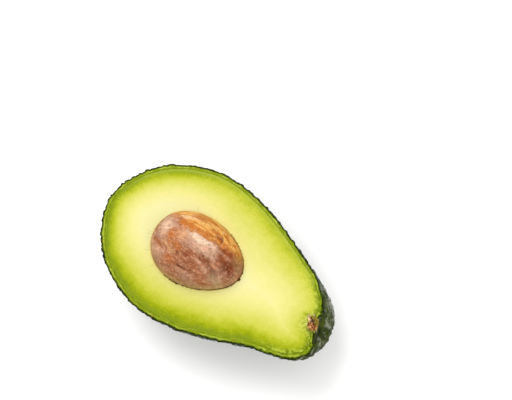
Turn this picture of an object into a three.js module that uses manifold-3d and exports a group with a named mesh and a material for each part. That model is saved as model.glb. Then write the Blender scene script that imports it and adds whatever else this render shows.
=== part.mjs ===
// Half an avocado, cut lengthwise through the stem, with the seed still in its hollow.
// Millimetres, +Z up, cut face up, +X towards the stem end. The origin is on the small flat spot
// that the half rests on, straight below its centre of mass.
import * as THREE from "three";
import { mergeVertices } from "three/addons/utils/BufferGeometryUtils.js";
import Module from "manifold-3d";

// Whole fruit
const CUT_HEIGHT = 31.5; // the cut face above the surface that the half rests on
const REST_X = 6.2; // the flat spot, measured from the middle of the seed
const DEEPEN = 0.0035; // how much deeper than wide the fruit gets, for each mm towards the stem
const SLANT_FROM = 36; // the stem end leans over from here
const SLANT_TO = 60;
const SLANT_SIDE = 0.35; // lean of the stem end towards -Y
const SLANT_DOWN = 0.38; // lean of the stem end towards the back of the half
const SLANT_TWIST = 0.025; // how much more it leans back for each mm towards +Y

// Skin
const PEEL = 1.5; // from the pits between the pebbles to the inside
const GAP = 0.3; // clearance between neighbouring pieces
const PEBBLE_RINGS = 14; // pebbles along one edge of the icosahedron that spaces them
const PEBBLE_HEIGHT = 0.75;
const PEBBLE_SHIFT = 0.5; // how far a pebble's top strays from its place
const SMOOTH_STEM = 0.3; // share of the pebbles' height that is left round the stem
const SMOOTH_FROM = 47; // the skin gets smoother from here
const SEED_OF_DRAW = 11;

// Seed
const SEED_LENGTH = 40;
const SEED_WIDTH = 29.4;
const SEED_EGG = 0.14; // how much the seed narrows towards the stem
const SEED_PLACE = new THREE.Vector3(0.5, -0.3, 0);
const SEED_TURN = THREE.MathUtils.degToRad(4);

// Stem
const STEM_RADIUS = 2.6;
const STEM_INNER = 54; // the ends of the stem's stub, from the middle of the seed
const STEM_OUTER = 57.8;
const STEM_SIDES = 14;

// Facets of the smooth surfaces
const FLESH_RINGS = 12;
const SEED_RINGS = 10;

// Half of the fruit's outline, from the blossom end to the dimple where the stem sits:
// distance from the middle of the seed, distance from the fruit's axis.
const OUTLINE = [
  [-42.7, 0],
  [-39.5, 11],
  [-31.3, 21.8],
  [-19, 29.1],
  [-6, 32.1],
  [9, 30.8],
  [24, 26.5],
  [40, 20.1],
  [49.4, 17],
  [55.6, 12.4],
  [58, 7.6],
  [57.5, 3.5],
  [57, 0],
];

const wasm = await Module();
wasm.setup();

// A repeatable draw between 0 and 1.
function makeDraw(seed) {
  let state = seed;
  return () => {
    state = (Math.imul(state, 1664525) + 1013904223) >>> 0;
    return state / 2 ** 32;
  };
}

// A geometry with merged corners and nothing but position.
function bare(geometry) {
  geometry.deleteAttribute("normal");
  geometry.deleteAttribute("uv");
  return mergeVertices(geometry, 1e-4);
}

function toSolid(geometry) {
  return new wasm.Manifold(
    new wasm.Mesh({
      numProp: 3,
      vertProperties: new Float32Array(geometry.attributes.position.array),
      triVerts: new Uint32Array(geometry.index.array),
    }),
  );
}

function toGeometry(solid) {
  const { vertProperties, triVerts } = solid.getMesh();
  return new THREE.BufferGeometry()
    .setAttribute("position", new THREE.BufferAttribute(vertProperties, 3))
    .setIndex(new THREE.BufferAttribute(triVerts, 1));
}

function moveVertices(geometry, place) {
  const position = geometry.attributes.position;
  const direction = new THREE.Vector3();
  for (let i = 0; i < position.count; i++) {
    direction.fromBufferAttribute(position, i).normalize();
    position.setXYZ(i, ...place(direction, i).toArray());
  }
  return geometry;
}

function ball(rings) {
  return bare(new THREE.IcosahedronGeometry(1, rings - 1));
}

// The whole meridian, closed, so that both ends are round.
const meridian = new THREE.CatmullRomCurve3(
  [
    ...OUTLINE.map(([x, r]) => new THREE.Vector3(x, r, 0)),
    ...OUTLINE.slice(1, -1)
      .reverse()
      .map(([x, r]) => new THREE.Vector3(x, -r, 0)),
  ],
  true,
  "centripetal",
);
meridian.arcLengthDivisions = 800;

// The point of the fruit's smooth surface in a direction from its middle, lifted off it by so much.
function onFruit(direction, lift) {
  const turn = Math.acos(THREE.MathUtils.clamp(-direction.x, -1, 1)) / (2 * Math.PI);
  const around = Math.atan2(direction.z, direction.y);
  const point = meridian.getPointAt(turn);
  const tangent = meridian.getTangentAt(turn);
  const x = point.x - tangent.y * lift;
  const radius = point.y + tangent.x * lift;
  const y = radius * Math.cos(around);
  const z = radius * Math.sin(around) * (1 + DEEPEN * x);
  const lean = THREE.MathUtils.smoothstep(x, SLANT_FROM, SLANT_TO);
  const back = SLANT_DOWN + SLANT_TWIST * y;
  return new THREE.Vector3(x - lean * (SLANT_SIDE * y + back * z), y, z);
}

// Every corner of a geodesic ball is the top of a pebble, and the middle of every triangle is the pit
// between three of them. Each edge gives two triangles: one end of it, and the pits on its two sides.
function pebbledBall(rings) {
  const coarse = ball(rings);
  const corners = coarse.attributes.position;
  const index = coarse.index.array;
  const points = Array.from(corners.array);
  const pitBeside = new Map();
  const a = new THREE.Vector3();
  for (let i = 0; i < index.length; i += 3) {
    const pit = new THREE.Vector3();
    for (let k = 0; k < 3; k++) pit.add(a.fromBufferAttribute(corners, index[i + k]));
    for (let k = 0; k < 3; k++)
      pitBeside.set(`${index[i + k]} ${index[i + ((k + 1) % 3)]}`, points.length / 3);
    points.push(...pit.normalize().toArray());
  }
  const triangles = [];
  for (const [edge, pit] of pitBeside) {
    const [from, to] = edge.split(" ").map(Number);
    triangles.push(from, pitBeside.get(`${to} ${from}`), pit);
  }
  const geometry = new THREE.BufferGeometry()
    .setAttribute("position", new THREE.Float32BufferAttribute(points, 3))
    .setIndex(triangles);
  return { geometry, tops: corners.count };
}

// The fruit's outside, with its pebbles.
function pebbledFruit() {
  const draw = makeDraw(SEED_OF_DRAW);
  const { geometry, tops } = pebbledBall(PEBBLE_RINGS);
  const stray = PEBBLE_SHIFT / PEBBLE_RINGS;
  return moveVertices(geometry, (direction, i) => {
    const shift = new THREE.Vector3(draw() - 0.5, draw() - 0.5, draw() - 0.5);
    const at = direction.clone().addScaledVector(shift, stray).normalize();
    const fade = THREE.MathUtils.smoothstep(onFruit(at, 0).x, SMOOTH_FROM, SLANT_TO);
    const height = PEBBLE_HEIGHT * (1 - (1 - SMOOTH_STEM) * fade);
    return onFruit(at, i < tops ? height * (0.55 + 0.45 * draw()) : 0);
  });
}

function fruitInside(depth) {
  return moveVertices(ball(FLESH_RINGS), (direction) => onFruit(direction, -depth));
}

// An egg, blunt towards the blossom end and narrower towards the stem.
function seedShape(lift) {
  const turned = new THREE.Matrix4().makeRotationZ(SEED_TURN).setPosition(SEED_PLACE);
  return moveVertices(ball(SEED_RINGS), (direction) => {
    const narrow = 1 - SEED_EGG * direction.x;
    return new THREE.Vector3(
      direction.x * (SEED_LENGTH / 2 + lift),
      direction.y * (SEED_WIDTH / 2 + lift) * narrow,
      direction.z * (SEED_WIDTH / 2 + lift) * narrow,
    ).applyMatrix4(turned);
  });
}

function stemShape(radius, from, to) {
  const stub = new THREE.CylinderGeometry(radius, radius, to - from, STEM_SIDES);
  stub.rotateZ(-Math.PI / 2).translate((from + to) / 2, 0, 0);
  return bare(stub);
}

// Everything between the resting surface and the knife's cut.
function keptBlock() {
  const wide = 200;
  const block = new THREE.BoxGeometry(wide, wide, CUT_HEIGHT);
  return toSolid(bare(block.translate(0, 0, -CUT_HEIGHT / 2)));
}

const kept = keptBlock();
const stemBore = toSolid(stemShape(STEM_RADIUS + GAP, STEM_INNER - GAP, STEM_OUTER + 20));

const solids = {
  peel: toSolid(pebbledFruit())
    .intersect(kept)
    .subtract(toSolid(fruitInside(PEEL)))
    .subtract(stemBore),
  flesh: toSolid(fruitInside(PEEL + GAP))
    .intersect(kept)
    .subtract(toSolid(seedShape(GAP)))
    .subtract(stemBore),
  seed: toSolid(seedShape(0)),
  stem: toSolid(stemShape(STEM_RADIUS, STEM_INNER, STEM_OUTER)).intersect(kept),
};

const finishes = {
  peel: { color: 0x2b3a14, roughness: 0.45, metalness: 0 },
  flesh: { color: 0xe4e67c, roughness: 0.4, metalness: 0 },
  seed: { color: 0xa56a48, roughness: 0.6, metalness: 0 },
  stem: { color: 0x8a5a2b, roughness: 0.85, metalness: 0 },
};

const half = new THREE.Group();
half.position.set(-REST_X, 0, CUT_HEIGHT);
for (const [name, solid] of Object.entries(solids)) {
  const mesh = new THREE.Mesh(
    toGeometry(solid),
    new THREE.MeshStandardMaterial({ ...finishes[name], flatShading: true }),
  );
  mesh.name = name;
  half.add(mesh);
}

const part = new THREE.Group();
part.add(half);

export default part;
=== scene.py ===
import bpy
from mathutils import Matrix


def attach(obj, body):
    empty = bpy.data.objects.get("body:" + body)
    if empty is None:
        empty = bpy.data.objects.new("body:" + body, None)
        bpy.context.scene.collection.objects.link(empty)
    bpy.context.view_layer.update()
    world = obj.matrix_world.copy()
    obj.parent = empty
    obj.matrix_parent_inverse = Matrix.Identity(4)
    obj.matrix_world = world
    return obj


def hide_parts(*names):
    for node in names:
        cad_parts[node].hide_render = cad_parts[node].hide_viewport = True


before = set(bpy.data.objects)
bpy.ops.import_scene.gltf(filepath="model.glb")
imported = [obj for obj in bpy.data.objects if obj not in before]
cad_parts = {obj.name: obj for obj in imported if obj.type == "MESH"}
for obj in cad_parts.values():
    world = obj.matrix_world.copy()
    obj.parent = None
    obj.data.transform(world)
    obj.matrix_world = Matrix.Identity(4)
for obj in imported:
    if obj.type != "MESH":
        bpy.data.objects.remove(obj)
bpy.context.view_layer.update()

import math
import random

import bmesh
import bpy
import numpy as np
from mathutils import Matrix, Vector, kdtree, noise

# Flesh
# The soft part of the half, cut flat by a long knife, with the hollow that the seed grew in. It goes
# from pale yellow round the seed to a green band under the skin. One ball is drawn out into all of it:
# the underside, then the cut face ring by ring, then down into the hollow.
CUT = 0.0315  # height of the cut face
SEED_X = -0.0062  # the middle of the seed, along the fruit
DEEPEN = 3.5  # how much deeper than wide the fruit gets, for each metre towards the stem
SLANT_FROM, SLANT_TO = 0.036, 0.060  # the stem end leans over between these two
# How far it leans for each metre across, for each metre down, and how much this grows towards one side.
SLANT_SIDE, SLANT_DOWN, SLANT_TWIST = 0.35, 0.38, 25.0
PEEL = 0.0015  # thickness of the skin, from the pits between its pebbles
# Half of the fruit's outline, from the blossom end to the dimple of the stem: distance from the
# middle of the seed, distance from the fruit's axis.
OUTLINE = (
    (-0.0427, 0), (-0.0395, 0.011), (-0.0313, 0.0218), (-0.019, 0.0291), (-0.006, 0.0321),
    (0.009, 0.0308), (0.024, 0.0265), (0.04, 0.0201), (0.0494, 0.017), (0.0556, 0.0124),
    (0.058, 0.0076), (0.0575, 0.0035), (0.057, 0),
)
SEED_LENGTH, SEED_WIDTH, SEED_EGG = 0.040, 0.0294, 0.14  # an egg, narrower towards the stem
SEED_CENTRE = Vector((SEED_X + 0.0005, -0.0003, CUT))
SEED_TURN = math.radians(4)
STEM_RADIUS, STEM_INNER, STEM_OUTER = 0.0025, 0.0478, 0.0516  # the stub, and its ends along the fruit
STEM_MIDDLE = (STEM_INNER + STEM_OUTER) / 2
STEM_SEAT = 0.009  # the flesh and the skin give way to the stub down to this depth
# The gap round the seed: it lies against the flesh on one side and stands free on the other.
GAP_CLOSED, GAP_FREE = 0.00001, 0.00006
FREE_SIDE = math.radians(-10)
FLESH_SEGMENTS = 512
UNDER_RINGS, FACE_RINGS, HOLLOW_RINGS = 18, 96, 22
FLESH_INSET = 0.00003  # the flesh ends this far inside the skin
LOOP_POINTS = 1441  # of the lines that distances from the skin and from the seed are taken to
# How far the edges of the cut face are rounded down, and how wide.
SEED_EDGE, SEED_EDGE_WIDTH = 0.00005, 0.0009
SKIN_EDGE, SKIN_EDGE_WIDTH = 0.00017, 0.0005
KNIFE_WAVE = 0.00009
KNIFE_DRAG = np.array([0.35, 1.0, 1.0])  # the waves are drawn out along the fruit
# A crease runs from the stub of the stem into the flesh, and the flesh is torn a little round the stub.
CREASE = ((0.0423, 0.0010), (0.0438, 0.0021), (0.0457, 0.0027), (0.0476, 0.0026))
CREASE_WIDTH, CREASE_DEPTH, CREASE_POINTS = 0.0005, 0.0004, 60
TORN_REACH, TORN_DEPTH = 0.0035, 0.0003


def smoothstep(value, start, end):
    t = np.clip((value - start) / (end - start), 0, 1)
    return t * t * (3 - 2 * t)


def round_curve(points, steps):
    """A closed centripetal Catmull-Rom curve through the points, as many steps between each two."""
    drawn = []
    for i in range(len(points)):
        a, b, c, d = (points[(i + k) % len(points)] for k in (-1, 0, 1, 2))
        ab, bc, cd = (math.sqrt((q - p).length) for p, q in ((a, b), (b, c), (c, d)))
        leaving = ((b - a) / ab - (c - a) / (ab + bc) + (c - b) / bc) * bc
        arriving = ((c - b) / bc - (d - b) / (bc + cd) + (d - c) / cd) * bc
        bend = -3 * b + 3 * c - 2 * leaving - arriving
        twist = 2 * b - 2 * c + leaving + arriving
        for step in range(steps):
            t = step / steps
            drawn.append(b + leaving * t + bend * t * t + twist * t ** 3)
    return np.array([*drawn, drawn[0]])


upper = [Vector(p) for p in OUTLINE]
lower = [Vector((x, -r)) for x, r in OUTLINE[1:-1]]
meridian = round_curve(upper + lower[::-1], steps=66)
travelled = np.concatenate([[0], np.cumsum(np.linalg.norm(np.diff(meridian, axis=0), axis=1))])
heading = np.gradient(meridian, travelled, axis=0)
heading /= np.linalg.norm(heading, axis=1)[:, None]


def on_fruit(way, lift):
    """The fruit's smooth surface in these directions from the middle of the seed, lifted by so much."""
    along = np.arccos(np.clip(-way[:, 0], -1, 1)) / (2 * np.pi) * travelled[-1]
    around = np.arctan2(way[:, 2], way[:, 1])
    x, radius, ahead, aside = (
        np.interp(along, travelled, row) for row in (*meridian.T, *heading.T)
    )
    x = x - aside * lift
    radius = radius + ahead * lift
    y = radius * np.cos(around)
    z = radius * np.sin(around) * (1 + DEEPEN * x)
    lean = smoothstep(x, SLANT_FROM, SLANT_TO)
    x = x - lean * (SLANT_SIDE * y + (SLANT_DOWN + SLANT_TWIST * y) * z)
    return np.stack([x + SEED_X, y, z + CUT], axis=1)


def on_seed(way, lift):
    """The seed's egg in these directions from its middle, lifted by so much."""
    narrow = 1 - SEED_EGG * way[:, 0]
    half = np.stack(
        [
            way[:, 0] * (SEED_LENGTH / 2 + lift),
            way[:, 1] * (SEED_WIDTH / 2 + lift) * narrow,
            way[:, 2] * (SEED_WIDTH / 2 + lift) * narrow,
        ],
        axis=1,
    )
    return half @ np.array(Matrix.Rotation(SEED_TURN, 3, "Z")).T + np.array(SEED_CENTRE)


def directions(turn, dip):
    """Directions that go round by turn and point below the cut face by dip."""
    flat = np.cos(dip)
    return np.stack([np.cos(turn) * flat, np.sin(turn) * flat, -np.sin(dip)], axis=1)


def seed_gap(turn):
    free = 0.5 + 0.5 * np.cos(turn - FREE_SIDE)
    return GAP_CLOSED + (GAP_FREE - GAP_CLOSED) * free


def ringed_ball(segments, rings):
    """A flat grid rolled up and closed into a ball, with each corner's turn and its ring from below."""
    bm = bmesh.new()
    bmesh.ops.create_grid(bm, x_segments=segments, y_segments=rings, size=1)
    corner_at = {
        (round((v.co.x + 1) / 2 * segments), round((v.co.y + 1) / 2 * rings)): v for v in bm.verts
    }
    joined = {corner_at[segments, row]: corner_at[0, row] for row in range(1, rings)}
    for pole in (0, rings):
        for column in range(1, segments + 1):
            joined[corner_at[column, pole]] = corner_at[0, pole]
    bmesh.ops.weld_verts(bm, targetmap=joined)
    at = np.array([v.co for v in bm.verts])
    return bm, at[:, 0] * np.pi, np.rint((at[:, 1] + 1) / 2 * rings).astype(int)


def make_piece(name, bm, places, **numbers):
    """Puts each corner of the bmesh in its place and makes it an object. The numbers become attributes."""
    for vert, place in zip(bm.verts, places):
        vert.co = place
    for face in bm.faces:
        face.smooth = True
    mesh = bpy.data.meshes.new(name)
    bm.to_mesh(mesh)
    bm.free()
    for key, values in numbers.items():
        attribute = mesh.attributes.new(key, "FLOAT", "POINT")
        attribute.data.foreach_set("value", np.asarray(values, np.float32))
    piece = bpy.data.objects.new(name, mesh)
    bpy.context.scene.collection.objects.link(piece)
    return piece


def rough(places, size, seed):
    """Smooth noise between about -1 and 1 at each place, with lumps of this size."""
    shift = Vector((seed * 7.3, seed * 3.1, seed * 5.7))
    return np.array([noise.noise(Vector(p) / size + shift) for p in places])


def nearest(places, line):
    """The distance from each place to the nearest point of a line."""
    tree = kdtree.KDTree(len(line))
    for i, point in enumerate(line):
        tree.insert(point, i)
    tree.balance()
    return np.array([tree.find(p)[2] for p in places])


def stub_width(east):
    """Half the width of the stem's stub at each distance along the fruit: its inner end is round."""
    before_middle = np.clip((STEM_MIDDLE - east) / (STEM_OUTER - STEM_MIDDLE), 0, 1)
    return STEM_RADIUS * (1 - before_middle ** 3) ** (1 / 3)


def make_room_for_stem(places, spare):
    """Presses what lies under the stub of the stem down, so that the stub has a round seat."""
    radius = stub_width(places[:, 0]) + spare
    half_chord = np.sqrt(np.clip(radius ** 2 - places[:, 1] ** 2, 0, None))
    below = np.clip(CUT - places[:, 2], 0, STEM_SEAT)
    inside = (places[:, 0] > STEM_INNER - spare) & (CUT - places[:, 2] < STEM_SEAT)
    pressed = CUT - (half_chord + (STEM_SEAT - half_chord) * below / STEM_SEAT)
    seated = places.copy()
    seated[:, 2] = np.where(inside & (half_chord > 0), pressed, places[:, 2])
    return seated


bm, turn, ring = ringed_ball(FLESH_SEGMENTS, UNDER_RINGS + FACE_RINGS + HOLLOW_RINGS)
dip = np.pi / 2 * np.clip(1 - ring / UNDER_RINGS, 0, 1)
outside = on_fruit(directions(turn, dip), -PEEL - FLESH_INSET)
rim = on_seed(directions(turn, np.zeros(len(turn))), seed_gap(turn))
across = np.clip((ring - UNDER_RINGS) / FACE_RINGS, 0, 1)
across = 0.5 * across + 0.5 * smoothstep(across, 0, 1)
into = np.pi / 2 * np.clip((ring - UNDER_RINGS - FACE_RINGS) / HOLLOW_RINGS, 0, 1)
hollow = on_seed(directions(turn, into), seed_gap(turn))
in_hollow = (ring > UNDER_RINGS + FACE_RINGS)[:, None]
places = np.where(in_hollow, hollow, outside + (rim - outside) * across[:, None])

# The edges of the cut face are rounded down, next to the skin more in some places than in others.
loop = np.linspace(0, 2 * np.pi, LOOP_POINTS)
level = np.zeros(len(loop))
from_skin = nearest(places, on_fruit(directions(loop, level), -PEEL))
from_seed = nearest(places, on_seed(directions(loop, level), seed_gap(loop)))
skin_edge = SKIN_EDGE * (0.25 + 0.75 * smoothstep(rough(places, 0.0025, 17), -0.25, 0.35))
drop = SEED_EDGE * (1 - smoothstep(from_seed, 0, SEED_EDGE_WIDTH)) ** 2
drop += skin_edge * (1 - smoothstep(from_skin, 0, SKIN_EDGE_WIDTH)) ** 2
# The knife left it in low waves, creased and torn towards the stub.
wave = rough(places * KNIFE_DRAG, 0.006, 1) + 0.35 * rough(places * KNIFE_DRAG, 0.0016, 2)
wave *= KNIFE_WAVE
crease_x = np.linspace(CREASE[0][0], CREASE[-1][0], CREASE_POINTS)
crease_y = np.interp(crease_x, *zip(*CREASE))
crease_line = np.stack([crease_x, crease_y, np.full(CREASE_POINTS, CUT)], axis=1)
crease = np.exp(-((nearest(places, crease_line) / CREASE_WIDTH) ** 2))
crease *= smoothstep(places[:, 0], CREASE[0][0], CREASE[2][0])
crease *= 0.6 + 0.8 * rough(places, 0.0008, 16)
from_stub = np.hypot(places[:, 0] - STEM_INNER, places[:, 1])
torn = np.exp(-((from_stub / TORN_REACH) ** 2))
wave += TORN_DEPTH * torn * rough(places, 0.0009, 10) - CREASE_DEPTH * crease
cut_face = (ring >= UNDER_RINGS) & (ring <= UNDER_RINGS + FACE_RINGS)
places[:, 2] += np.where(cut_face, wave * smoothstep(from_skin, 0, 0.001) - drop, 0)
places = make_room_for_stem(places, spare=0.00003)
flesh = make_piece(
    "flesh_cut",
    bm,
    places,
    mm_from_skin=from_skin * 1000,
    mm_from_seed=from_seed * 1000,
    crease=crease,
    torn=torn,
)


def paint(code):
    """A colour written as six hexadecimal digits, as the linear values that a shader takes."""
    channels = [int(code[i : i + 2], 16) / 255 for i in (0, 2, 4)]
    linear = [c / 12.92 if c <= 0.04045 else ((c + 0.055) / 1.055) ** 2.4 for c in channels]
    return (*linear, 1.0)


def material_for(piece, name):
    """A new material on the piece: its tree and its main shader."""
    material = bpy.data.materials.new(name)
    material.use_nodes = True
    piece.data.materials.append(material)
    return material.node_tree, material.node_tree.nodes["Principled BSDF"]


def feed(tree, node, inputs):
    """Gives a node its inputs, each as a value or as the socket that it is linked to."""
    for key, value in inputs.items():
        if isinstance(value, bpy.types.NodeSocket):
            tree.links.new(value, node.inputs[key])
        else:
            node.inputs[key].default_value = value


def add(tree, kind, inputs, **settings):
    """A node with its settings and its inputs."""
    made = tree.nodes.new("ShaderNode" + kind)
    for key, value in settings.items():
        setattr(made, key, value)
    feed(tree, made, inputs)
    return made


def place_on_piece(tree):
    """The place on the piece, in its own metres."""
    return add(tree, "TexCoord", {}).outputs["Object"]


def compass(tree, where):
    """A place's distance along the fruit towards the stem, its distance across, and its height."""
    return add(tree, "SeparateXYZ", {0: where}).outputs[:3]


def number(tree, name):
    """A number that the mesh carries at its corners."""
    return add(tree, "Attribute", {}, attribute_name=name).outputs["Fac"]


def maths(tree, operation, *values):
    return add(tree, "Math", dict(enumerate(values)), operation=operation).outputs[0]


def times(tree, a, b):
    return maths(tree, "MULTIPLY", a, b)


def plus(tree, a, b):
    return maths(tree, "ADD", a, b)


def minus(tree, a, b):
    return maths(tree, "SUBTRACT", a, b)


def onto(tree, a, weight, b):
    """The first number, weighed, on top of the second."""
    return maths(tree, "MULTIPLY_ADD", a, weight, b)


def shaky(tree, value, grit, amount):
    """A number that noise moves up and down, by as much as the amount from end to end."""
    return onto(tree, grit, amount, minus(tree, value, amount / 2))


def spread(tree, value, low, high, to_low=0.0, to_high=1.0):
    """The value taken from one range to another, with soft ends."""
    ends = {"Value": value, "From Min": low, "From Max": high, "To Min": to_low, "To Max": to_high}
    return add(tree, "MapRange", ends, interpolation_type="SMOOTHSTEP").outputs[0]


def blended(tree, share, *colours):
    """Two colours mixed by a share between 0 and 1."""
    first, second = (paint(c) if isinstance(c, str) else c for c in colours)
    return add(tree, "Mix", {0: share, 6: first, 7: second}, data_type="RGBA").outputs[2]


def ramp(tree, value, stops):
    """Colours along a value between 0 and 1."""
    made = add(tree, "ValToRGB", {0: value})
    band = made.color_ramp
    while len(band.elements) < len(stops):
        band.elements.new(0.5)
    for element, (at, code) in zip(band.elements, stops):
        element.position = at
        element.color = paint(code)
    return made.outputs[0]


def grain(tree, where, size, detail=4.0, roughness=0.55, stretch=None, turned=0.0):
    """Noise with lumps of this size in metres, drawn out along the fruit if it is stretched."""
    if stretch:
        turn_by = (0.0, 0.0, turned)
        mapping = {"Vector": where, "Rotation": turn_by, "Scale": (1 / stretch, 1.0, 1.0)}
        where = add(tree, "Mapping", mapping).outputs[0]
    settings = {"Vector": where, "Scale": 1 / size, "Detail": detail, "Roughness": roughness}
    return add(tree, "TexNoise", settings).outputs[0]


def patches(tree, where, size, low, high, strength=1.0, detail=3.0, roughness=0.6, stretch=None):
    """Irregular patches where the noise is high, with soft edges between low and high."""
    return spread(tree, grain(tree, where, size, detail, roughness, stretch), low, high, 0.0, strength)


def emboss(tree, shader, height, strength, depth):
    bump = add(tree, "Bump", {"Height": height, "Strength": strength, "Distance": depth})
    feed(tree, shader, {"Normal": bump.outputs[0]})


FLESH_BAND = 16.0  # millimetres from the skin at which the colour stops changing
FLESH_COLOURS = (
    (0.0, "758614"), (0.07, "7b8b0b"), (0.1, "83920a"), (0.147, "919c0c"), (0.1875, "9da61a"),
    (0.25, "abb12c"), (0.34, "bdbe48"), (0.47, "c8c762"), (0.6, "d2ce78"), (0.75, "dad388"),
    (1.0, "dcd89c"),
)
CREASE_GREEN = -6.5  # the crease is as green as flesh this many millimetres nearer to the skin
BLOSSOM_BEARING, STAIN_SHADE_BEARING = 3.04, 0.3  # seen from the seed, in radians from +X towards -Y

tree, shader = material_for(flesh, "avocado_flesh")
where = place_on_piece(tree)
east, north, _ = compass(tree, where)
from_edge, from_seed = number(tree, "mm_from_skin"), number(tree, "mm_from_seed")
patchy = grain(tree, where, 0.007, 3.0)
fine = grain(tree, where, 0.0007, 5.0, 0.6)
clouds = grain(tree, where, 0.0026, 3.0, 0.6)
# The green band is wide and dark on one side, narrow at the blossom end, and pale on the other side.
towards_blossom = minus(tree, times(tree, north, 0.6), east)
narrowing = spread(tree, towards_blossom, 0.0, 0.055, 0.7, 1.35)
paler = spread(tree, onto(tree, east, 0.5, north), 0.012, 0.032, 0.0, 2.3)
paler = plus(tree, paler, spread(tree, east, 0.025, 0.045))
depth = onto(tree, from_edge, narrowing, paler)
depth = shaky(tree, depth, patchy, 2.4)
depth = shaky(tree, depth, fine, 2.0)
depth = shaky(tree, depth, clouds, 2.4)
depth = onto(tree, number(tree, "crease"), CREASE_GREEN, depth)
colour = ramp(tree, maths(tree, "DIVIDE", depth, FLESH_BAND), FLESH_COLOURS)
# On the pale side even the green next to the skin is lighter.
light_edge = spread(tree, from_edge, 0.4, 2.0, 0.5, 0.0)
light_edge = times(tree, light_edge, spread(tree, north, 0.0, 0.020))
colour = blended(tree, light_edge, colour, "a6b244")
# A pale line, broken here and there, where the flesh meets the skin: partly the pale tissue there and
# partly a painted highlight along the rim.
line = spread(tree, onto(tree, fine, 0.5, from_edge), 0.35, 0.8, 0.6, 0.0)
line = times(tree, line, patches(tree, where, 0.0016, 0.44, 0.6))
colour = blended(tree, line, colour, "adbd40")
# Near the stem the knife left the rim torn. Its light and dark green specks are partly torn tissue and
# partly painted highlights and painted shade in its crevices.
torn_rim_light_and_shade = spread(tree, from_edge, 0.2, 2.6, 0.75, 0.0)
torn_rim_light_and_shade = times(tree, torn_rim_light_and_shade, spread(tree, east, 0.034, 0.044))
torn_specks_light_and_shade = blended(tree, patches(tree, where, 0.0013, 0.44, 0.58, detail=4.0), "5f7208", "aab740")
colour = blended(tree, torn_rim_light_and_shade, colour, torn_specks_light_and_shade)
# Round the stub the flesh is torn, pale in some places and dark green in others.
crumbs = blended(tree, patches(tree, where, 0.0011, 0.42, 0.6, detail=4.0), "7f8f14", "d2cd78")
colour = blended(tree, times(tree, number(tree, "torn"), 0.75), colour, crumbs)
# Short fibres stand out from the seed into the flesh, in tufts, and most of them at the blossom end.
seed_east = minus(tree, east, SEED_CENTRE.x)
bearing = maths(tree, "ARCTAN2", minus(tree, north, SEED_CENTRE.y), seed_east)
around_seed = {0: bearing, 1: times(tree, from_seed, 0.006)}
around_seed = add(tree, "CombineXYZ", around_seed).outputs[0]
fibres = patches(tree, around_seed, 0.035, 0.56, 0.7, detail=2.0, roughness=0.55)
just_bearing = add(tree, "CombineXYZ", {0: bearing}).outputs[0]
tufts = patches(tree, just_bearing, 0.3, 0.5, 0.62, 0.7, detail=0.0, roughness=0.55)
blossom_side = maths(tree, "COSINE", plus(tree, bearing, BLOSSOM_BEARING))
tufts = maths(tree, "MAXIMUM", tufts, spread(tree, blossom_side, 0.86, 0.95))
fibres = times(tree, fibres, tufts)
fibres = times(tree, fibres, spread(tree, from_seed, 0.2, 3.4, 0.85, 0.0))
colour = blended(tree, fibres, colour, "9a9032")
# Painted light: the flesh right next to the seed is lightened to a warm yellow, against the shade of the
# crevice round it.
colour = blended(tree, spread(tree, from_seed, 0.0, 1.0, 0.6, 0.0), colour, "e2cc74")
# On the seed's free side the edge of the hollow is darkened brown: partly a stain and partly painted shade
# of the crevice between flesh and seed.
free_side = maths(tree, "COSINE", plus(tree, bearing, STAIN_SHADE_BEARING))
stain_and_shade = grain(tree, where, 0.0011, 3.0, 0.6)
stain_and_shade = onto(tree, stain_and_shade, -1.1, plus(tree, from_seed, 0.55))
stain_and_shade = spread(tree, stain_and_shade, 0.05, 0.3, 0.9, 0.0)
stain_and_shade = times(tree, stain_and_shade, spread(tree, free_side, -0.2, 0.2))
colour = blended(tree, stain_and_shade, colour, "5f3a12")
# The flesh is mottled in the green band and nearly even in the middle.
wisps = grain(tree, where, 0.002, 5.0, 0.65, stretch=2.0, turned=0.5)
in_band = spread(tree, from_edge, 2.0, 8.0, 0.16, 0.035)
uneven = onto(tree, minus(tree, plus(tree, wisps, fine), 1.0), in_band, 1.0)
uneven = onto(tree, minus(tree, fine, 0.5), in_band, uneven)
colour = add(tree, "HueSaturation", {"Color": colour, "Value": uneven}).outputs[0]
# Its cells are moist, and wetter towards the skin.
flecks = grain(tree, where, 0.0004, 2.0, 0.6)
wet_edge = spread(tree, from_edge, 0.5, 5.0, 1.0, 0.1)
wet_edge = times(tree, wet_edge, spread(tree, from_edge, 0.3, 1.1, 0.15, 1.0))
wet = times(tree, spread(tree, flecks, 0.6, 0.7, 0.03, 0.9), wet_edge)
feed(tree, shader, {
    "Base Color": colour,
    "Roughness": spread(tree, flecks, 0.3, 0.7, 0.25, 0.5),
    "Specular IOR Level": wet,
    "Subsurface Weight": 0.2,
    "Subsurface Radius": (1.0, 0.8, 0.25),
    "Subsurface Scale": 0.0016,
})
strokes = grain(tree, where, 0.00045, 3.0, 0.6, stretch=9.0)
bumps = plus(tree, times(tree, strokes, 0.6), times(tree, fine, 0.5))
emboss(tree, shader, bumps, 0.25, 0.00012)

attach(flesh, "root")
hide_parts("flesh")

# Skin
# The rind round the flesh: leathery, dark green and covered in pebbles, smoother and finely furrowed
# round the stem. Its cut edge shows light green inside and nearly black outside. One ball again: the
# pebbled outside from below, the cut edge, and the inside back down.
SKIN_SEGMENTS = 640
OUTSIDE_RINGS, INSIDE_RINGS = 116, 12
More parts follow.
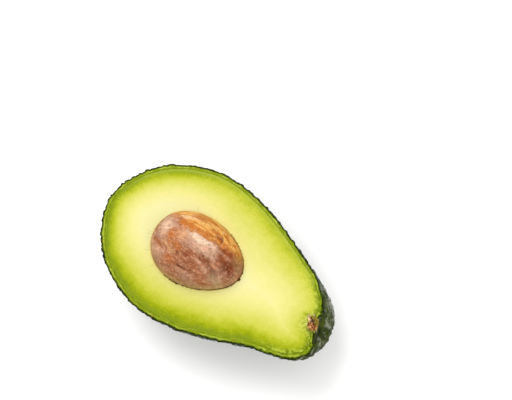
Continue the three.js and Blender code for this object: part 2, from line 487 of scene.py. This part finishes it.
# The cut edge, from the outside in: share of the way across, height above the cut face.
CUT_EDGE = (
    (0.0, -0.00012), (0.08, -0.00002), (0.2, 0.00003), (0.4, 0.00003),
    (0.6, 0.00005), (0.8, 0.00012), (0.92, 0.0001), (1.0, -0.00008),
)
PEBBLE_PITCH = 0.0024
PEBBLE_HEIGHT = 0.00085
PEBBLE_LENGTH = 1.2  # pebbles are this much longer along the fruit than across
PEBBLE_PACKING = 0.87  # the area of a pebble, as a share of the square of the pitch
PEBBLE_STRAY = 0.45  # how far a pebble strays from its place, as a share of the pitch
PEBBLE_SIZES, PEBBLE_RISES = (0.6, 1.5), (0.3, 1.0)
PEBBLE_SLOPE, PEBBLE_BULGE = 0.78, 0.65  # how far in the slope goes, and how full the dome is
PIT_BEND, PIT_BEND_SIZE = 0.00035, 0.0014  # the pits between the pebbles wander by this
# Towards the stem the pebbles get lower, furrows and knobs take over, and the rim is left ragged.
SMOOTH_FROM, SMOOTH_TO, SMOOTHED = 0.043, 0.058, 0.5
FURROW_HEIGHT, FURROW_LENGTH, FURROW_FAN = 0.0005, 0.006, 3.4
KNOB_HEIGHT, RAGGED_HEIGHT = 0.0004, 0.0004
SWELL = 0.00014  # the whole skin swells and sinks by this
RANDOM_START = 8

draw = random.Random(RANDOM_START)
noise.seed_set(RANDOM_START)  # for the noise vectors, which otherwise start from the clock
half_line = travelled <= travelled[-1] / 2
ring_area = meridian[half_line, 1].clip(0)
area_so_far = np.concatenate([[0], np.cumsum(ring_area[1:] * np.diff(travelled[half_line]))])
pebble_count = int(2 * math.pi * area_so_far[-1] / (PEBBLE_PACKING * PEBBLE_PITCH ** 2))
golden_turn = math.pi * (3 - math.sqrt(5))
pebble_spots = kdtree.KDTree(pebble_count)
pebble_size, pebble_rise, pebble_tint = (np.zeros(pebble_count) for _ in range(3))


def pebble_space(places):
    """Places squeezed along the fruit, so that round cells there come out longer on the skin."""
    return places * np.array([1 / PEBBLE_LENGTH, 1.0, 1.0])


def strays():
    """How far each pebble strays from its place, drawn anew each time."""
    drawn = [draw.uniform(-PEBBLE_STRAY, PEBBLE_STRAY) for _ in range(pebble_count)]
    return np.array(drawn) * PEBBLE_PITCH


# The pebbles' places go round the fruit in a spiral that gives each the same area.
share = (np.arange(pebble_count) + 0.5) / pebble_count
spot_along = np.interp(share * area_so_far[-1], area_so_far, travelled[half_line])
spot_along += strays()
spot_turn = np.arange(pebble_count) * golden_turn
spot_tilt = np.clip(spot_along / travelled[-1], 0, 0.5) * 2 * np.pi
spot_turn += strays() / np.interp(spot_along, travelled, np.abs(meridian[:, 1])).clip(0.004)
spot_way = np.stack(
    [-np.cos(spot_tilt), np.sin(spot_tilt) * np.cos(spot_turn), np.sin(spot_tilt) * np.sin(spot_turn)],
    axis=1,
)
for i, spot in enumerate(pebble_space(on_fruit(spot_way, 0.0))):
    pebble_spots.insert(spot, i)
    pebble_size[i] = draw.uniform(*PEBBLE_SIZES)
    pebble_rise[i] = draw.uniform(*PEBBLE_RISES)
    pebble_tint[i] = draw.random()
pebble_spots.balance()

bm, turn, ring = ringed_ball(SKIN_SEGMENTS, OUTSIDE_RINGS + len(CUT_EDGE) + INSIDE_RINGS)
edge_step = np.clip(ring - OUTSIDE_RINGS, 0, len(CUT_EDGE) - 1)
on_outside = ring < OUTSIDE_RINGS
on_inside = ring >= OUTSIDE_RINGS + len(CUT_EDGE)
edge_share, edge_height = (np.array(CUT_EDGE)[edge_step, k] for k in (0, 1))
across = np.where(on_outside, 0.0, np.where(on_inside, 1.0, edge_share))
down_outside = 1 - (ring + 0.5) / (OUTSIDE_RINGS + 0.5)
down_inside = (ring - OUTSIDE_RINGS - len(CUT_EDGE) + 1) / (INSIDE_RINGS + 1)
down_outside[ring == 0] = 1.0
dip = np.pi / 2 * np.where(on_outside, down_outside, np.where(on_inside, down_inside, 0.0))
way = directions(turn, dip)
smooth_skin = on_fruit(way, np.zeros(len(way)))

# Each corner rises with the pebble that it lies on, from the pit half way to the next pebble.
dome, tint = np.zeros(len(way)), np.zeros(len(way))
for i, place in enumerate(smooth_skin):
    if on_inside[i]:
        continue
    spot = Vector(place)
    spot += PIT_BEND * noise.noise_vector(spot / PIT_BEND_SIZE)
    found = pebble_spots.find_n(pebble_space(np.array(spot)), 5)
    reach = sorted((distance / pebble_size[which], which) for _, which, distance in found)
    (first, mine), (second, _) = reach[:2]
    inward = min(1.0, (second - first) / (PEBBLE_SLOPE * (second + first)))
    dome[i] = math.sin(inward * math.pi / 2) ** PEBBLE_BULGE * pebble_rise[mine]
    tint[i] = pebble_tint[mine]

# Round the stem furrows and knobs take over.
from_stem = np.hypot(smooth_skin[:, 1], smooth_skin[:, 2] - CUT)
round_stem = smoothstep(smooth_skin[:, 0] - SEED_X, SMOOTH_FROM, SMOOTH_TO)
stem_turn = np.arctan2(smooth_skin[:, 2] - CUT, smooth_skin[:, 1])
fan = (FURROW_FAN * np.cos(stem_turn), FURROW_FAN * np.sin(stem_turn))
furrows = 0.5 + 0.5 * rough(np.stack([from_stem / FURROW_LENGTH, *fan], axis=1), 0.42, 3)
knobs = rough(smooth_skin, 0.0022, 11)
lift = PEBBLE_HEIGHT * dome * (1 - SMOOTHED * round_stem)
furrowed = FURROW_HEIGHT * furrows + KNOB_HEIGHT * knobs
lift += furrowed * round_stem * smoothstep(from_stem, 0.002, 0.006)
lift += SWELL * rough(smooth_skin, 0.005, 4)
places = on_fruit(way, lift * (1 - across) - PEEL * across)
# The cut edge is uneven, and ragged towards the stem.
uneven = 0.5 + 0.5 * rough(smooth_skin, 0.0022, 5)
ragged = RAGGED_HEIGHT * smoothstep(smooth_skin[:, 0], 0.036, 0.046) * rough(smooth_skin, 0.0009, 12)
edge_height = edge_height * (0.3 + 1.6 * uneven) + ragged - 0.00008 * (1 - uneven)
places[:, 2] += np.where(on_outside | on_inside, 0, edge_height)
places[:, 2] = np.maximum(places[:, 2], 0)
places = make_room_for_stem(places, spare=0.00006)
skin = make_piece(
    "skin_pebbled", bm, places, across=across, dome=dome, tint=tint, round_stem=round_stem
)

PEBBLE_COLOURS = ((0.0, "3a5210"), (0.2, "2a3d0d"), (0.5, "1e2b0a"), (1.0, "171e0a"))
CUT_COLOURS = (
    (0.0, "131a06"), (0.24, "202a08"), (0.36, "52640f"), (0.5, "768613"), (1.0, "7e8d14"),
)

tree, shader = material_for(skin, "avocado_skin")
where = place_on_piece(tree)
east, _, height = compass(tree, where)
patchy = grain(tree, where, 0.009, 3.0)
fine = grain(tree, where, 0.0005, 4.0)
# The pebbles are darker on top than in the pits, some purplish and some lighter green.
outer = ramp(tree, shaky(tree, number(tree, "dome"), fine, 0.5), PEBBLE_COLOURS)
purple = spread(tree, times(tree, patchy, number(tree, "tint")), 0.3, 0.55)
outer = blended(tree, purple, outer, "2c1c12")
lime = spread(tree, onto(tree, patchy, -0.6, number(tree, "tint")), 0.45, 0.66)
outer = blended(tree, times(tree, lime, 0.35), outer, "304818")
# The shoulder round the stem is a mottled lighter green, with glossy patches whose sheen is also painted
# into the colour.
light_shoulder = blended(tree, spread(tree, height, 0.012, 0.026), "27360c", "485216")
mottled = patches(tree, where, 0.003, 0.35, 0.68, detail=4.0)
shoulder = blended(tree, mottled, "1c2303", light_shoulder)
outer = blended(tree, times(tree, number(tree, "round_stem"), 0.8), outer, shoulder)
slant = add(tree, "Mapping", {"Vector": where, "Rotation": (0.0, 0.0, 0.5)}).outputs[0]
shine = onto(tree, fine, 0.24, grain(tree, slant, 0.0030, 4.0, 0.6, stretch=2.0))
near_rim = spread(tree, height, 0.012, 0.026, 0.15, 1.0)
shine = times(tree, spread(tree, shine, 0.63, 0.76), near_rim)
# Painted sheen: where the shoulder is glossy its colour is lightened to a pale grey-green.
painted_sheen = times(tree, shine, spread(tree, fine, 0.3, 0.55, 0.15, 0.5))
painted_sheen = times(tree, painted_sheen, number(tree, "round_stem"))
outer = blended(tree, painted_sheen, outer, "74795a")
# The cut edge, with a broken pale line inside it, partly the pale layer next to the flesh and partly a
# painted highlight along the raised lip, and a few rusty spots.
edge = number(tree, "across")
ragged = grain(tree, where, 0.0022, 3.0, 0.6)
edge_in = shaky(tree, shaky(tree, edge, fine, 0.3), ragged, 0.5)
cut_colour = ramp(tree, edge_in, CUT_COLOURS)
pale_line_and_highlight = spread(tree, edge_in, 0.46, 0.58)
pale_line_and_highlight = times(tree, pale_line_and_highlight, spread(tree, edge_in, 0.64, 0.82, 1.0, 0.0))
pale_line_and_highlight = times(tree, pale_line_and_highlight, patches(tree, where, 0.0032, 0.42, 0.62, 0.85, detail=4.0))
cut_colour = blended(tree, pale_line_and_highlight, cut_colour, "adb84a")
rusty = patches(tree, where, 0.0026, 0.66, 0.74, 0.8, detail=2.0, roughness=0.55)
cut_colour = blended(tree, rusty, cut_colour, "8a5a2a")
# Where the rim is torn, towards the stem, the cut edge is frayed and has dark nicks.
nicks = patches(tree, where, 0.0026, 0.58, 0.64, 0.9)
nicks = times(tree, nicks, spread(tree, east, 0.040, 0.047))
cut_colour = blended(tree, nicks, cut_colour, "2b330a")
frayed = patches(tree, where, 0.0011, 0.54, 0.62, 0.8)
frayed = times(tree, frayed, spread(tree, east, 0.028, 0.042))
cut_colour = blended(tree, frayed, cut_colour, "4d6412")
colour = blended(tree, spread(tree, edge, 0.01, 0.06), outer, cut_colour)
# The gloss is even on the pebbles and patchy on the shoulder, weak on the cut and next to it.
patchy_gloss = spread(tree, number(tree, "round_stem"), 0.0, 0.5, 0.15, 0.95)
even_gloss = spread(tree, number(tree, "round_stem"), 0.0, 0.5, 0.3, 0.0)
gloss = plus(tree, onto(tree, shine, patchy_gloss, 0.06), even_gloss)
gloss = times(tree, gloss, spread(tree, edge, 0.0, 0.1, 1.0, 0.1))
gloss = times(tree, gloss, spread(tree, height, CUT - 0.006, CUT - 0.001, 1.0, 0.35))
feed(tree, shader, {
    "Base Color": colour,
    "Roughness": spread(tree, shine, 0.0, 1.0, 0.5, 0.2),
    "Specular IOR Level": gloss,
})
pores = grain(tree, where, 0.00022, 2.0, 0.6)
emboss(tree, shader, onto(tree, pores, 0.4, plus(tree, fine, ragged)), 0.5, 0.0002)

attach(skin, "root")
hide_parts("peel")

# Stem
# The stub that the fruit hung from: dry brown wood, split in two by the knife and crumbled. A ball is
# pulled out along the fruit, its top pressed down to the cut, spread over the edges and left ragged.
STEM_SEGMENTS, STEM_RINGS = 128, 80
STEM_BLUNT = 1.6  # the power that gathers the ball's rings towards the ends
STEM_SPREAD, STEM_SKEW = 1.1, 0.45  # the top is about this much wider than the stub, and skewed
STEM_ROOF, STEM_ROOF_LEAST = 0.00012, 0.00004  # height of the top above the cut
STEM_TUCK, STEM_TUCK_FROM = 0.0005, 0.8  # the thickest part is let down this far

bm, turn, ring = ringed_ball(STEM_SEGMENTS, STEM_RINGS)
pole = ring / STEM_RINGS * np.pi
along = -np.sign(np.cos(pole)) * (1 - (1 - np.abs(np.cos(pole))) ** STEM_BLUNT)
thick = STEM_RADIUS * (1 - np.abs(along) ** 3) ** (1 / 3)
half_length = STEM_OUTER - STEM_MIDDLE
stub = np.stack([half_length * along, np.cos(turn) * thick, np.sin(turn) * thick], axis=1)
fibres = rough(stub * np.array([0.3, 1.0, 1.0]), 0.0006, 6)
clods = rough(stub, 0.0013, 7)
splinters = rough(stub, 0.0007, 13)
# The top spreads raggedly over the edges of its seat, more on one side and less at the outer end.
on_top = (stub[:, 2] > -0.0001)[:, None]
leaning = 0.6 * smoothstep(stub[:, 1], 0, STEM_RADIUS)
leaning = leaning - 0.2 * smoothstep(-stub[:, 1], 0, STEM_RADIUS)
spread_by = STEM_SPREAD + leaning + 0.34 * clods + 0.3 * splinters
spread_by = spread_by - 0.2 * smoothstep(stub[:, 0], 0, 0.001)
spread_out = stub * spread_by[:, None] * np.array([1.0, 1.0, 0.0]) + stub * np.array([0.0, 0.0, 1.0])
spread_out[:, 0] -= STEM_SKEW * spread_out[:, 1]
stub = np.where(on_top, spread_out, stub)
# It is pressed down to the cut, with clods and fibres left standing.
roof = STEM_ROOF + 0.0002 * fibres + 0.00045 * clods + 0.0002 * splinters
roof = np.maximum(roof, STEM_ROOF_LEAST - STEM_TUCK * (thick / STEM_RADIUS > STEM_TUCK_FROM))
stub[:, 2] = np.minimum(stub[:, 2], roof)
places = stub + np.array([STEM_MIDDLE, 0.0, CUT])
stem = make_piece("stem_stub", bm, places, clods=0.5 + 0.5 * clods + 0.35 * splinters)

WOOD_COLOURS = (
    (0.0, "1c1006"), (0.28, "3f1f0d"), (0.42, "7a3f1f"), (0.55, "97562a"), (0.68, "bd8e4c"),
    (1.0, "dcc292"),
)
STEM_PIT, STEM_HEART = (STEM_MIDDLE - 0.0012, 0.0014, CUT), (STEM_MIDDLE - 0.0003, 0.0009, CUT)

tree, shader = material_for(stem, "stem_wood")
where = place_on_piece(tree)
east, north, _ = compass(tree, where)
fine = grain(tree, where, 0.00035, 4.0, 0.6, stretch=2.0)
colour = ramp(tree, shaky(tree, number(tree, "clods"), fine, 0.9), WOOD_COLOURS)
# One side is still greenish yellow, where the stub joins the skin, and the other is redder.
beyond_middle = minus(tree, east, STEM_MIDDLE)
green_side = onto(tree, fine, 0.002, onto(tree, beyond_middle, 0.6, north))
greenish = blended(tree, spread(tree, fine, 0.4, 0.6), "5c4c0c", "8a7c20")
colour = blended(tree, spread(tree, green_side, 0.0020, 0.0028, 0.0, 0.9), colour, greenish)
red_side = onto(tree, fine, 0.002, minus(tree, times(tree, beyond_middle, 0.5), north))
colour = blended(tree, spread(tree, red_side, 0.0022, 0.0032, 0.0, 0.7), colour, "7c3a22")
# A dark pit, and crumbs of flesh and skin at the edges.
from_pit = add(tree, "VectorMath", {0: where, 1: STEM_PIT}, operation="DISTANCE").outputs["Value"]
from_pit = onto(tree, fine, 0.0024, from_pit)
colour = blended(tree, spread(tree, from_pit, 0.0016, 0.0026, 0.9, 0.0), colour, "1e1006")
from_heart = add(tree, "VectorMath", {0: where, 1: STEM_HEART}, operation="DISTANCE").outputs["Value"]
from_heart = onto(tree, fine, 0.0022, from_heart)
outskirts = blended(tree, spread(tree, beyond_middle, -0.003, 0.0), "b8ab66", "7c8020")
colour = blended(tree, spread(tree, from_heart, 0.0034, 0.0044, 0.0, 0.8), colour, outskirts)
feed(tree, shader, {"Base Color": colour, "Roughness": 0.7, "Specular IOR Level": 0.2})
emboss(tree, shader, fine, 0.6, 0.0002)

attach(stem, "root")
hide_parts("stem")

# Seed
# One hard egg with a brown papery coat that clings to it, worn pale in places and with painted
# highlights, sitting half deep in its hollow. A ball with its poles at the ends, drawn out into the egg
# and given low lengthwise lumps.
SEED_SEGMENTS, SEED_RINGS = 288, 200
SEED_LUMP = 0.00014  # height of the lumps
# Worn and darker places of the coat, and pale places that are partly painted highlights, in millimetres
# from the seed's middle: distance along it, distance across, half length, half width, turn in degrees,
# colour, strength.
COAT_MARKS_AND_HIGHLIGHTS = (
    # pale coat, partly a painted highlight
    (-13.6, 2.8, 3.4, 4.6, 10, "d6b295", 0.95),
    (-13.6, -7.6, 4.0, 2.6, -10, "c2957a", 0.8),
    (-13.6, -4.8, 3.7, 1.1, -27, "97522b", 0.9),
    (-9.3, -4.4, 3.8, 1.1, -22, "c89464", 0.8),
    (-5.5, 2.2, 3.4, 2.8, 0, "cb9568", 0.75),
    (-10.0, 0.4, 2.8, 2.0, -35, "b4682c", 0.85),
    (-6.6, -2.7, 3.8, 1.6, -25, "b0642c", 0.8),
    # pale patch, partly a painted highlight
    (3.5, 1.6, 8.2, 3.1, -6, "cda488", 0.9),
    # a painted highlight along the crest
    (2.6, 3.8, 6.8, 1.3, -4, "e6c8ae", 0.9),
    (-6.6, -8.5, 3.2, 1.4, 12, "a6581f", 0.75),
    (-0.4, -4.1, 2.0, 1.7, 0, "763516", 0.9),
    (3.0, -2.8, 2.4, 1.0, 0, "8a4e2c", 0.7),
    (5.8, -2.4, 2.5, 1.5, -8, "6b3114", 0.95),
    (8.4, -2.9, 2.4, 1.6, -8, "804528", 0.8),
    (3.9, -6.5, 2.8, 1.0, 0, "9a5a36", 0.6),
    (11.8, -5.2, 2.1, 1.3, -10, "6c3a21", 0.85),
    (15.6, -0.2, 2.8, 3.4, 0, "6f3114", 1.0),
    (12.4, 1.0, 2.2, 2.1, 0, "7d3c1b", 0.85),
    (12.8, 4.6, 3.4, 1.1, -4, "864019", 0.9),
    (7.6, 8.1, 2.8, 0.7, -25, "7e3a15", 0.95),
    (17.2, 4.4, 2.0, 3.4, 0, "a07238", 0.7),
    (14.0, -7.6, 4.2, 2.2, -32, "b39674", 0.6),
    # pale streak, partly a painted highlight
    (-8.0, 9.5, 4.8, 0.7, 14, "dcb896", 0.65),
    (-11.4, 7.6, 3.0, 0.5, 25, "9c6244", 0.6),
    (-4.4, -5.3, 0.6, 0.45, 0, "3b1b0b", 0.95),
    (-0.6, -9.3, 2.2, 0.5, 3, "3c1d0a", 1.0),
    (4.0, -8.8, 3.4, 0.25, 12, "68401f", 0.8),
)

bm, turn, ring = ringed_ball(SEED_SEGMENTS, SEED_RINGS)
pole = ring / SEED_RINGS * np.pi
way = np.stack([-np.cos(pole), np.cos(turn) * np.sin(pole), np.sin(turn) * np.sin(pole)], axis=1)
smooth_seed = on_seed(way, 0.0)
# The lumps are lowest at the height of the cut, where the flesh lies close round the seed.
stretched = smooth_seed * np.array([0.3, 1.0, 1.0])
lump = SEED_LUMP * (rough(smooth_seed, 0.007, 8) + 0.6 * rough(stretched, 0.0016, 9) - 1.1)
lump *= 0.2 + 0.8 * smoothstep(np.abs(smooth_seed[:, 2] - CUT), 0.0002, 0.0025)
seed = make_piece("seed_coated", bm, on_seed(way, lump))

tree, shader = material_for(seed, "seed_coat")
where = place_on_piece(tree)
centred = {"Vector": where, "Location": (-SEED_CENTRE.x, -SEED_CENTRE.y, -SEED_CENTRE.z)}
own = add(tree, "Mapping", centred).outputs[0]
own = add(tree, "Mapping", {"Vector": own, "Rotation": (0.0, 0.0, -SEED_TURN)}).outputs[0]


def shaken(tree, where, size, by):
    """The same coordinates, moved a little this way and that, so that marks get torn edges."""
    away = grain(tree, where, size, 3.0, 0.6).node.outputs["Color"]
    away = add(tree, "VectorMath", {0: away, 1: (0.5, 0.5, 0.5)}, operation="SUBTRACT").outputs[0]
    away = add(tree, "VectorMath", {0: away, 1: (by, by, by)}, operation="MULTIPLY").outputs[0]
    return add(tree, "VectorMath", {0: where, 1: away}, operation="ADD").outputs[0]


torn_edges = shaken(tree, shaken(tree, own, 0.003, 0.004), 0.0009, 0.0012)
east, north, height = compass(tree, torn_edges)
cloud = grain(tree, own, 0.005, 5.0, 0.6, stretch=1.6)
mottle = grain(tree, own, 0.0016, 5.0, 0.65, stretch=1.3)
fine = grain(tree, own, 0.0005, 4.0, 0.7, stretch=1.5)
flaky = grain(tree, own, 0.0012, 3.0, 0.7, stretch=1.4)
streak = grain(tree, own, 0.002, 4.0, 0.55, stretch=7.0)
colour = blended(tree, spread(tree, cloud, 0.4, 0.6), "93593a", "ab7c62")
colour = blended(tree, spread(tree, mottle, 0.5, 0.64, 0.0, 0.4), colour, "bb9478")
# The coat is thin and orange along one side, with lengthwise streaks.
band_start = onto(tree, spread(tree, east, -0.013, -0.006, 1.0, 0.0), 0.0025, 0.0053)
into_band = minus(tree, north, band_start)
band = spread(tree, onto(tree, fine, 0.003, into_band), -0.0003, 0.0030)
band_colour = blended(tree, spread(tree, streak, 0.43, 0.6), "dda65c", "b26a2c")
band_colour = blended(tree, spread(tree, into_band, 0.0006, 0.0030, 0.75, 0.0), band_colour, "ad6124")
pale_streak = patches(tree, own, 0.0013, 0.56, 0.68, stretch=9.0)
pale_streak = times(tree, pale_streak, spread(tree, east, -0.006, 0.001, 0.7, 0.1))
band_colour = blended(tree, pale_streak, band_colour, "d8b18c")
colour = blended(tree, band, colour, band_colour)
# Each mark is an ellipse that noise feathers.
feather = onto(tree, mottle, 1.3, onto(tree, fine, 1.1, -1.2))
for along_mm, across_mm, half_length, half_width, degrees, code, strength in COAT_MARKS_AND_HIGHLIGHTS:
    placed = {
        "Vector": torn_edges,
        "Location": (along_mm / 1000, across_mm / 1000, 0.0),
        "Rotation": (0.0, 0.0, math.radians(degrees)),
        "Scale": (half_length / 1000, half_width / 1000, 1.0),
    }
    apart = add(tree, "Mapping", placed, vector_type="TEXTURE").outputs[0]
    apart = add(tree, "VectorMath", {0: apart}, operation="LENGTH").outputs["Value"]
    apart = plus(tree, apart, feather)
    colour = blended(tree, spread(tree, apart, 0.2, 1.45, strength, 0.0), colour, code)
# Towards the cut the coat is thin enough for the yellow of the flesh to show through.
low_side = onto(tree, spread(tree, north, -0.011, -0.005), 0.003, height)
colour = blended(tree, spread(tree, low_side, 0.0010, 0.0050, 0.65, 0.0), colour, "a38f58")
# Dark specks, pits and light flakes.
specks = spread(tree, onto(tree, cloud, 0.35, fine), 0.72, 0.82, 0.0, 0.6)
colour = blended(tree, specks, colour, "542a18")
pitted = patches(tree, own, 0.0010, 0.57, 0.65, 0.6, detail=2.0, stretch=1.5)
pitted = times(tree, pitted, spread(tree, band, 0.0, 1.0, 1.0, 0.3))
colour = blended(tree, pitted, colour, "7c4a30")
colour = blended(tree, patches(tree, own, 0.0009, 0.58, 0.66, 0.3), colour, "e2c4a4")
# The whole coat is dappled, and the orange side less than the rest.
dapple = spread(tree, mottle, 0.3, 0.7, 0.84, 1.16)
dapple = times(tree, dapple, spread(tree, fine, 0.35, 0.65, 0.74, 1.26))
dapple = times(tree, dapple, spread(tree, streak, 0.35, 0.65, 0.9, 1.1))
dapple = times(tree, dapple, spread(tree, flaky, 0.38, 0.62, 0.9, 1.1))
dappled_share = spread(tree, band, 0.0, 1.0, 1.0, 0.45)
dapple = onto(tree, minus(tree, dapple, 1.0), dappled_share, 1.0)
vivid = {"Color": colour, "Saturation": 1.04, "Value": dapple}
feed(tree, shader, {
    "Base Color": add(tree, "HueSaturation", vivid).outputs[0],
    "Roughness": spread(tree, fine, 0.3, 0.7, 0.35, 0.6),
    "Specular IOR Level": 0.2,
})
emboss(tree, shader, onto(tree, streak, 0.5, onto(tree, mottle, 0.8, fine)), 0.4, 0.0003)

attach(seed, "root")
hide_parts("seed")

# Scrap of seed coat
# A ragged dark edge of the papery coat, torn off by the knife, that lies along the seed on its free
# side. A thin ball drawn out along the seed's edge, thicker where the noise says so.
SCRAP_FROM, SCRAP_TO = math.radians(-114), math.radians(18)
SCRAP_SEGMENTS, SCRAP_RINGS = 12, 700
THREAD_TALL, THREAD_WIDE = 0.00004, 0.00003  # where it is only a thread
TATTER_TALL, TATTER_WIDE = 0.0005, 0.00055  # what a tatter adds
SCRAP_LIFT = 0.00008
SCRAP_MIDDLE, SCRAP_THIN_SPAN, SCRAP_FULL_SPAN = 0.45, 0.12, 0.3  # it has few tatters in its middle
SCRAP_COLOURS = (
    (0.0, "2c1405"), (0.45, "4a260b"), (0.55, "6b4114"), (0.68, "8c6a28"), (1.0, "a08a40"),
)

bm, turn, ring = ringed_ball(SCRAP_SEGMENTS, SCRAP_RINGS)
share = ring / SCRAP_RINGS
bearing = SCRAP_FROM + (SCRAP_TO - SCRAP_FROM) * share
ways = directions(bearing, np.zeros(len(bearing)))
edge_line = on_seed(ways, seed_gap(bearing) * 0.6)
outward = on_seed(ways, 0.001) - on_seed(ways, 0.0)
outward /= np.linalg.norm(outward, axis=1)[:, None]
tatter = rough(edge_line, 0.0018, 14) + 0.7 * rough(edge_line, 0.0005, 15)
from_middle = smoothstep(np.abs(share - SCRAP_MIDDLE), SCRAP_THIN_SPAN, SCRAP_FULL_SPAN)
tatter = smoothstep(tatter, -0.15, 0.35) * (0.15 + 0.85 * from_middle)
taper = np.sin(np.pi * share) ** 0.5
tall = (THREAD_TALL + TATTER_TALL * tatter) * taper
wide = (THREAD_WIDE + TATTER_WIDE * tatter) * taper
places = edge_line + outward * (np.cos(turn) * wide + 0.9 * wide)[:, None]
places[:, 2] += np.sin(turn) * tall + SCRAP_LIFT
scrap = make_piece("seed_coat_scrap", bm, places)

tree, shader = material_for(scrap, "torn_seed_coat")
worn = grain(tree, place_on_piece(tree), 0.0014, 4.0, 0.6)
colour = ramp(tree, worn, SCRAP_COLOURS)
feed(tree, shader, {"Base Color": colour, "Roughness": 0.6, "Specular IOR Level": 0.2})

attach(scrap, "root")

# Floor
# A plain pale table top, wide enough to fill every view. It is one flat face, just under the flat
# spot that the half rests on.
FLOOR_SIZE, FLOOR_DROP = 3.0, 0.0001
bm = bmesh.new()
bmesh.ops.create_grid(bm, x_segments=1, y_segments=1, size=FLOOR_SIZE)
bmesh.ops.translate(bm, vec=(0, 0, -FLOOR_DROP), verts=bm.verts)
floor_mesh = bpy.data.meshes.new("floor")
bm.to_mesh(floor_mesh)
bm.free()
floor = bpy.data.objects.new("floor", floor_mesh)
bpy.context.scene.collection.objects.link(floor)
tree, shader = material_for(floor, "pale_table")
feed(tree, shader, {"Base Color": paint("fbfbfa"), "Roughness": 0.9})

# Light
# An even white room, with one wide soft lamp overhead and a weaker one low on the other side. Both
# are round and look at the object's foot.
ROOM_STRENGTH = 1.04
world = bpy.data.worlds.new("white_room")
world.use_nodes = True
room_light = {"Color": (1.0, 1.0, 1.0, 1.0), "Strength": ROOM_STRENGTH}
feed(world.node_tree, world.node_tree.nodes["Background"], room_light)
bpy.context.scene.world = world


def lamp(name, place, size, power):
    light = bpy.data.lights.new(name, "AREA")
    light.shape = "DISK"
    light.size = size
    light.energy = power
    made = bpy.data.objects.new(name, light)
    made.location = place
    made.rotation_euler = (-Vector(place)).to_track_quat("-Z", "Y").to_euler()
    bpy.context.scene.collection.objects.link(made)


lamp("overhead", (-0.45, 0.25, 0.95), size=0.7, power=5.2)
lamp("fill", (0.75, -0.35, 0.5), size=0.4, power=1.0)

# Camera
# It looks down on the cut face and is rolled, so that the stem end points down and to the right. It
# is placed so that the middle of the seed falls on one given point of the picture.
AZIMUTH, ELEVATION, ROLL = math.radians(64), math.radians(75), math.radians(-30.9)
DISTANCE = 0.9
PIXELS_WIDE, PIXELS_HIGH = 512, 400
PIXELS_PER_METRE = 2494  # at the middle of the seed
SEED_PIXEL = (197.2, 251.3)  # where the middle of the seed is in the picture
SENSOR = 36.0
CLIP_NEAR, CLIP_FAR = 0.01, 20.0

back = Vector(
    (
        math.sin(AZIMUTH) * math.cos(ELEVATION),
        -math.cos(AZIMUTH) * math.cos(ELEVATION),
        math.sin(ELEVATION),
    )
)
level_right = (-back).cross(Vector((0, 0, 1))).normalized()
level_up = level_right.cross(-back)
right = level_right * math.cos(ROLL) + level_up * math.sin(ROLL)
up = level_up * math.cos(ROLL) - level_right * math.sin(ROLL)
focal_pixels = PIXELS_PER_METRE * DISTANCE
ray = (
    -back
    + right * (SEED_PIXEL[0] - PIXELS_WIDE / 2) / focal_pixels
    - up * (SEED_PIXEL[1] - PIXELS_HIGH / 2) / focal_pixels
)
camera_data = bpy.data.cameras.new("camera")
camera_data.sensor_width = SENSOR
camera_data.lens = focal_pixels / PIXELS_WIDE * SENSOR
camera_data.clip_start, camera_data.clip_end = CLIP_NEAR, CLIP_FAR
camera = bpy.data.objects.new("camera", camera_data)
spot = Vector((SEED_X, 0, CUT)) - ray * DISTANCE
camera.matrix_world = Matrix.Translation(spot) @ Matrix((right, up, back)).transposed().to_4x4()
bpy.context.scene.collection.objects.link(camera)
bpy.context.scene.camera = camera
bpy.context.scene.view_settings.view_transform = "Standard"
